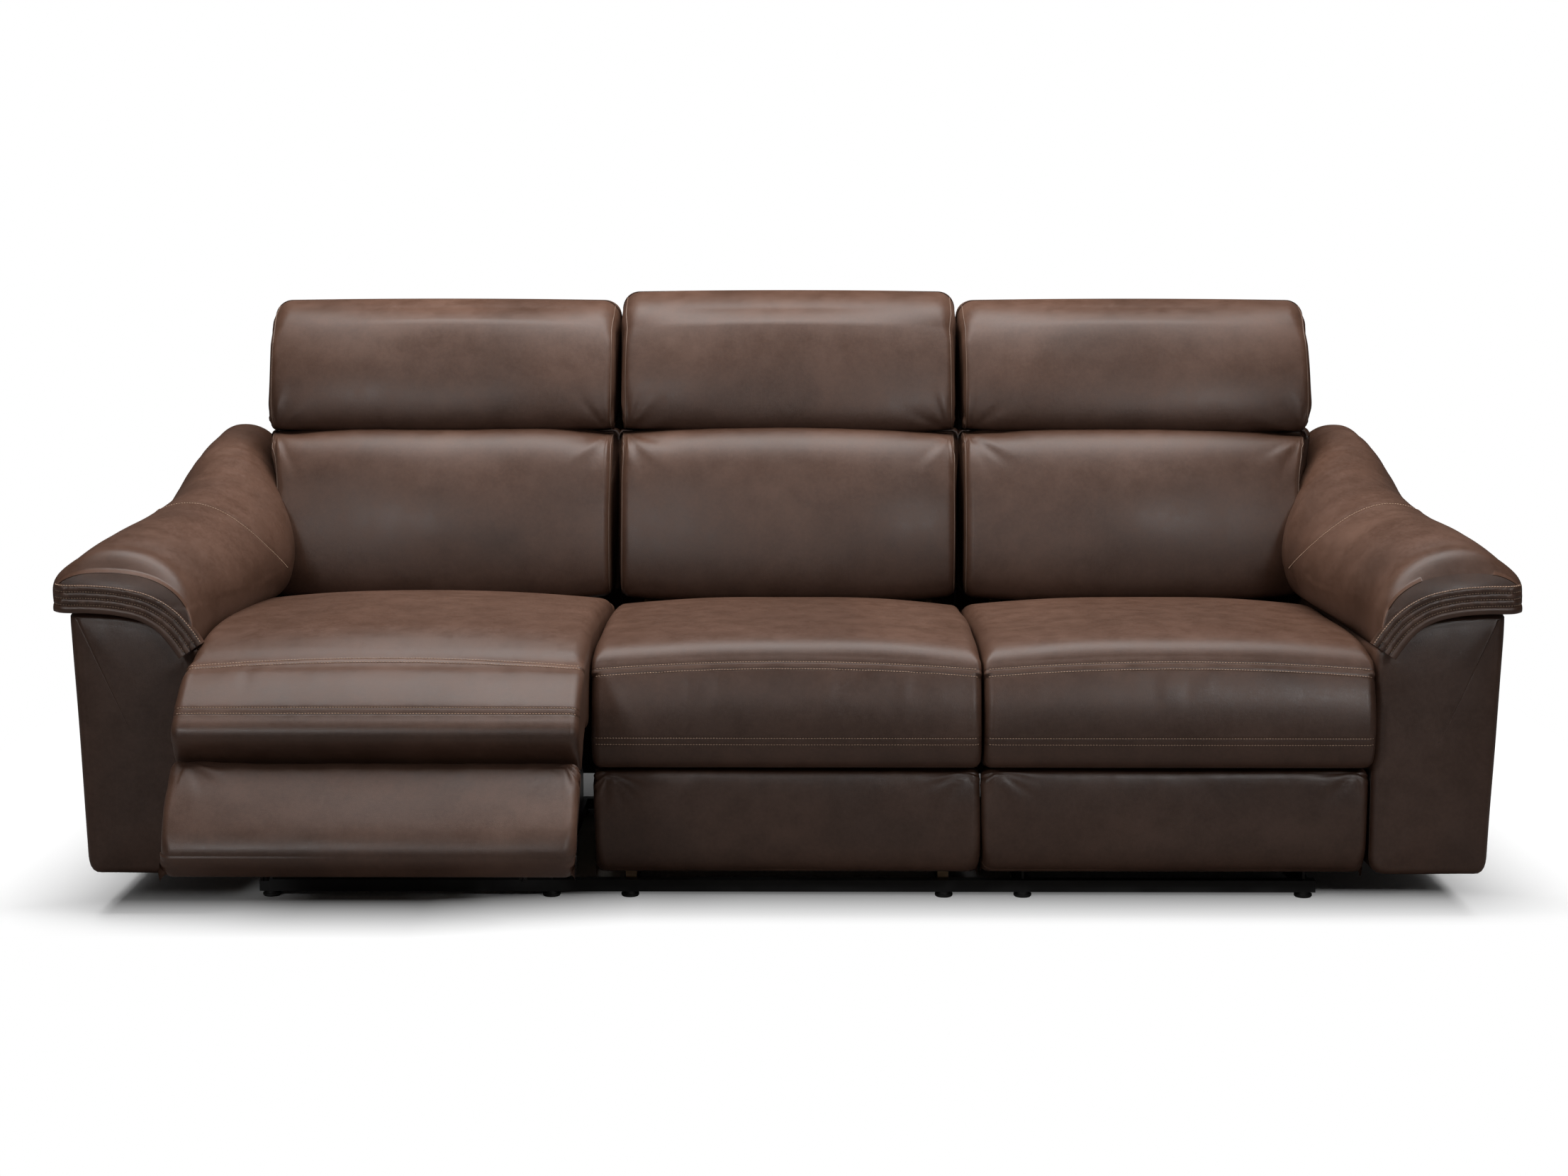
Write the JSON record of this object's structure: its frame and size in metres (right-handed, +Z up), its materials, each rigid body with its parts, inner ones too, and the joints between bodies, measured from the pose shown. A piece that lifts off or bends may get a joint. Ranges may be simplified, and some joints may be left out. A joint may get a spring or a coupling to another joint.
{
  "type": "reclining sofa",
  "caption": "Leather reclining sofa with powered end seats whose footrests fold out and whose backs lean, a fixed middle seat, pillow arms and a black steel floor base",
  "frame": {"origin": "on the floor, midway across the sofa's width and midway between its frontmost and rearmost points", "axes": "+X to the right seen from the front, +Y towards the rear, +Z up"},
  "size_m": [2.35, 1.2738, 0.9972],
  "materials": {
    "seat_leather": "semi-gloss dark brown mottled leather with tan stitching",
    "cover_leather": "semi-gloss dark brown mottled leather on firm panels",
    "frame_wood": "plain unfinished hardwood and plywood with elastic straps",
    "frame_steel": "satin black powder coat",
    "link_steel": "satin black powder coat, worn at the pins",
    "drive_rod": "plain ground steel rod",
    "drive_housing": "moulded black plastic with fine grain",
    "foot_plastic": "moulded black plastic",
    "lining_cloth": "black lining cloth over board",
    "switch_plastic": "moulded dark plastic plate",
    "button_plastic": "smooth dark plastic button"
  },
  "bodies": {
    "root": {"floor_rails": "frame_steel", "glide_feet": "foot_plastic", "base_side_plates": "frame_steel", "base_cross_members": "frame_steel", "recline_motors": "drive_housing", "rear_apron": "lining_cloth", "arm_front_welts": "seat_leather", "switch_plates": "switch_plastic", "centre_frame": "frame_wood", "centre_seat_deck": "frame_wood", "centre_seat_cushion": "seat_leather", "centre_front_flap": "seat_leather", "centre_lower_panel": "seat_leather", "centre_front_board": "frame_wood", "centre_back_frame": "frame_wood", "centre_lumbar_cushion": "seat_leather", "centre_head_cushion": "seat_leather", "centre_back_shell": "cover_leather", "left_arm_shell": "cover_leather", "left_arm_pad": "seat_leather", "right_arm_shell": "cover_leather", "right_arm_pad": "seat_leather"},
    "left_seat": {"left_seat_steel": "frame_steel", "left_seat_deck": "frame_wood", "left_seat_cushion": "seat_leather", "left_footrest_motor": "drive_housing"},
    "left_footrest": {"left_front_flap": "seat_leather", "left_lower_panel": "seat_leather", "left_footrest_board": "frame_wood", "left_footrest_brackets": "link_steel"},
    "left_swing": {"left_swing_links": "link_steel"},
    "left_connecting": {"left_connecting_links": "link_steel"},
    "left_rod": {"left_footrest_rod": "drive_rod"},
    "left_back": {"left_back_frame": "frame_wood", "left_lumbar_cushion": "seat_leather", "left_head_cushion": "seat_leather", "left_back_shell": "cover_leather", "left_back_hinge": "frame_steel"},
    "left_recline": {"left_recline_rod": "drive_rod"},
    "left_open_button": {"left_open_button": "button_plastic"},
    "left_recline_button": {"left_recline_button": "button_plastic"},
    "right_seat": {"right_seat_steel": "frame_steel", "right_seat_deck": "frame_wood", "right_seat_cushion": "seat_leather", "right_footrest_motor": "drive_housing"},
    "right_footrest": {"right_front_flap": "seat_leather", "right_lower_panel": "seat_leather", "right_footrest_board": "frame_wood", "right_footrest_brackets": "link_steel"},
    "right_swing": {"right_swing_links": "link_steel"},
    "right_connecting": {"right_connecting_links": "link_steel"},
    "right_rod": {"right_footrest_rod": "drive_rod"},
    "right_back": {"right_back_frame": "frame_wood", "right_lumbar_cushion": "seat_leather", "right_head_cushion": "seat_leather", "right_back_shell": "cover_leather", "right_back_hinge": "frame_steel"},
    "right_recline": {"right_recline_rod": "drive_rod"},
    "right_open_button": {"right_open_button": "button_plastic"},
    "right_recline_button": {"right_recline_button": "button_plastic"}
  },
  "joints": [
    {"name": "left_seat_slide", "type": "slide", "parent": "root", "child": "left_seat", "axis": [0, -0.9646, 0.2639], "range_m": [-0.08728, 0.07971]},
    {"name": "left_footrest_fold", "type": "hinge", "parent": "left_seat", "child": "left_footrest", "pos_m": [-0.63, -0.40683, 0.43498], "axis": [-1, 0, 0], "range_deg": [-46, 42]},
    {"name": "left_swing_turn", "type": "hinge", "parent": "left_seat", "child": "left_swing", "pos_m": [-0.63, -0.29183, 0.28998], "axis": [-1, 0, 0], "range_deg": [-46.2, 42.2]},
    {"name": "left_link_turn", "type": "hinge", "parent": "left_swing", "child": "left_connecting", "pos_m": [-0.63, -0.36408, 0.0812], "axis": [-1, 0, 0], "range_deg": [-42.2, 46.2]},
    {"name": "left_rod_slide", "type": "slide", "parent": "left_seat", "child": "left_rod", "axis": [0, -1, 0], "range_m": [-0.05104, 0.04662]},
    {"name": "left_back_recline", "type": "hinge", "parent": "root", "child": "left_back", "pos_m": [-0.63, 0.42416, 0.3], "axis": [-1, 0, 0], "range_deg": [0, 30]},
    {"name": "left_recline_drive", "type": "slide", "parent": "root", "child": "left_recline", "axis": [0, -1, 0], "range_m": [-0.0002, 0.09855]},
    {"name": "left_open_press", "type": "slide", "parent": "root", "child": "left_open_button", "axis": [0.9993, 0, 0.0374], "range_m": [0, 0.002], "stiffness_N_per_m": 900, "springref_m": -0.001},
    {"name": "left_recline_press", "type": "slide", "parent": "root", "child": "left_recline_button", "axis": [0.9993, 0, 0.0374], "range_m": [0, 0.002], "stiffness_N_per_m": 900, "springref_m": -0.001},
    {"name": "right_seat_slide", "type": "slide", "parent": "root", "child": "right_seat", "axis": [0, -0.9646, 0.2639], "range_m": [-0.0002, 0.16678]},
    {"name": "right_footrest_fold", "type": "hinge", "parent": "right_seat", "child": "right_footrest", "pos_m": [0.63, -0.32284, 0.412], "axis": [-1, 0, 0], "range_deg": [0, 88]},
    {"name": "right_swing_turn", "type": "hinge", "parent": "right_seat", "child": "right_swing", "pos_m": [0.63, -0.20784, 0.267], "axis": [-1, 0, 0], "range_deg": [-0.2, 88.2]},
    {"name": "right_link_turn", "type": "hinge", "parent": "right_swing", "child": "right_connecting", "pos_m": [0.63, -0.10784, 0.07], "axis": [-1, 0, 0], "range_deg": [-88.2, 0.2]},
    {"name": "right_rod_slide", "type": "slide", "parent": "right_seat", "child": "right_rod", "axis": [0, -1, 0], "range_m": [-0.0002, 0.09745]},
    {"name": "right_back_recline", "type": "hinge", "parent": "root", "child": "right_back", "pos_m": [0.63, 0.42416, 0.3], "axis": [-1, 0, 0], "range_deg": [0, 30]},
    {"name": "right_recline_drive", "type": "slide", "parent": "root", "child": "right_recline", "axis": [0, -1, 0], "range_m": [-0.0002, 0.09855]},
    {"name": "right_open_press", "type": "slide", "parent": "root", "child": "right_open_button", "axis": [-0.9993, 0, 0.0374], "range_m": [0, 0.002], "stiffness_N_per_m": 900, "springref_m": -0.001},
    {"name": "right_recline_press", "type": "slide", "parent": "root", "child": "right_recline_button", "axis": [-0.9993, 0, 0.0374], "range_m": [0, 0.002], "stiffness_N_per_m": 900, "springref_m": -0.001}
  ],
  "couplings": [
    {"joint": "left_seat_slide", "follows": "left_footrest_fold", "m_per_rad": 0.10846},
    {"joint": "left_swing_turn", "follows": "left_footrest_fold", "ratio": 1},
    {"joint": "left_link_turn", "follows": "left_footrest_fold", "ratio": -1},
    {"joint": "left_rod_slide", "follows": "left_footrest_fold", "m_per_rad": 0.06332},
    {"joint": "left_recline_drive", "follows": "left_back_recline", "m_per_rad": 0.18784},
    {"joint": "right_seat_slide", "follows": "right_footrest_fold", "m_per_rad": 0.10846},
    {"joint": "right_swing_turn", "follows": "right_footrest_fold", "ratio": 1},
    {"joint": "right_link_turn", "follows": "right_footrest_fold", "ratio": -1},
    {"joint": "right_rod_slide", "follows": "right_footrest_fold", "m_per_rad": 0.06332},
    {"joint": "right_recline_drive", "follows": "right_back_recline", "m_per_rad": 0.18784}
  ]
}
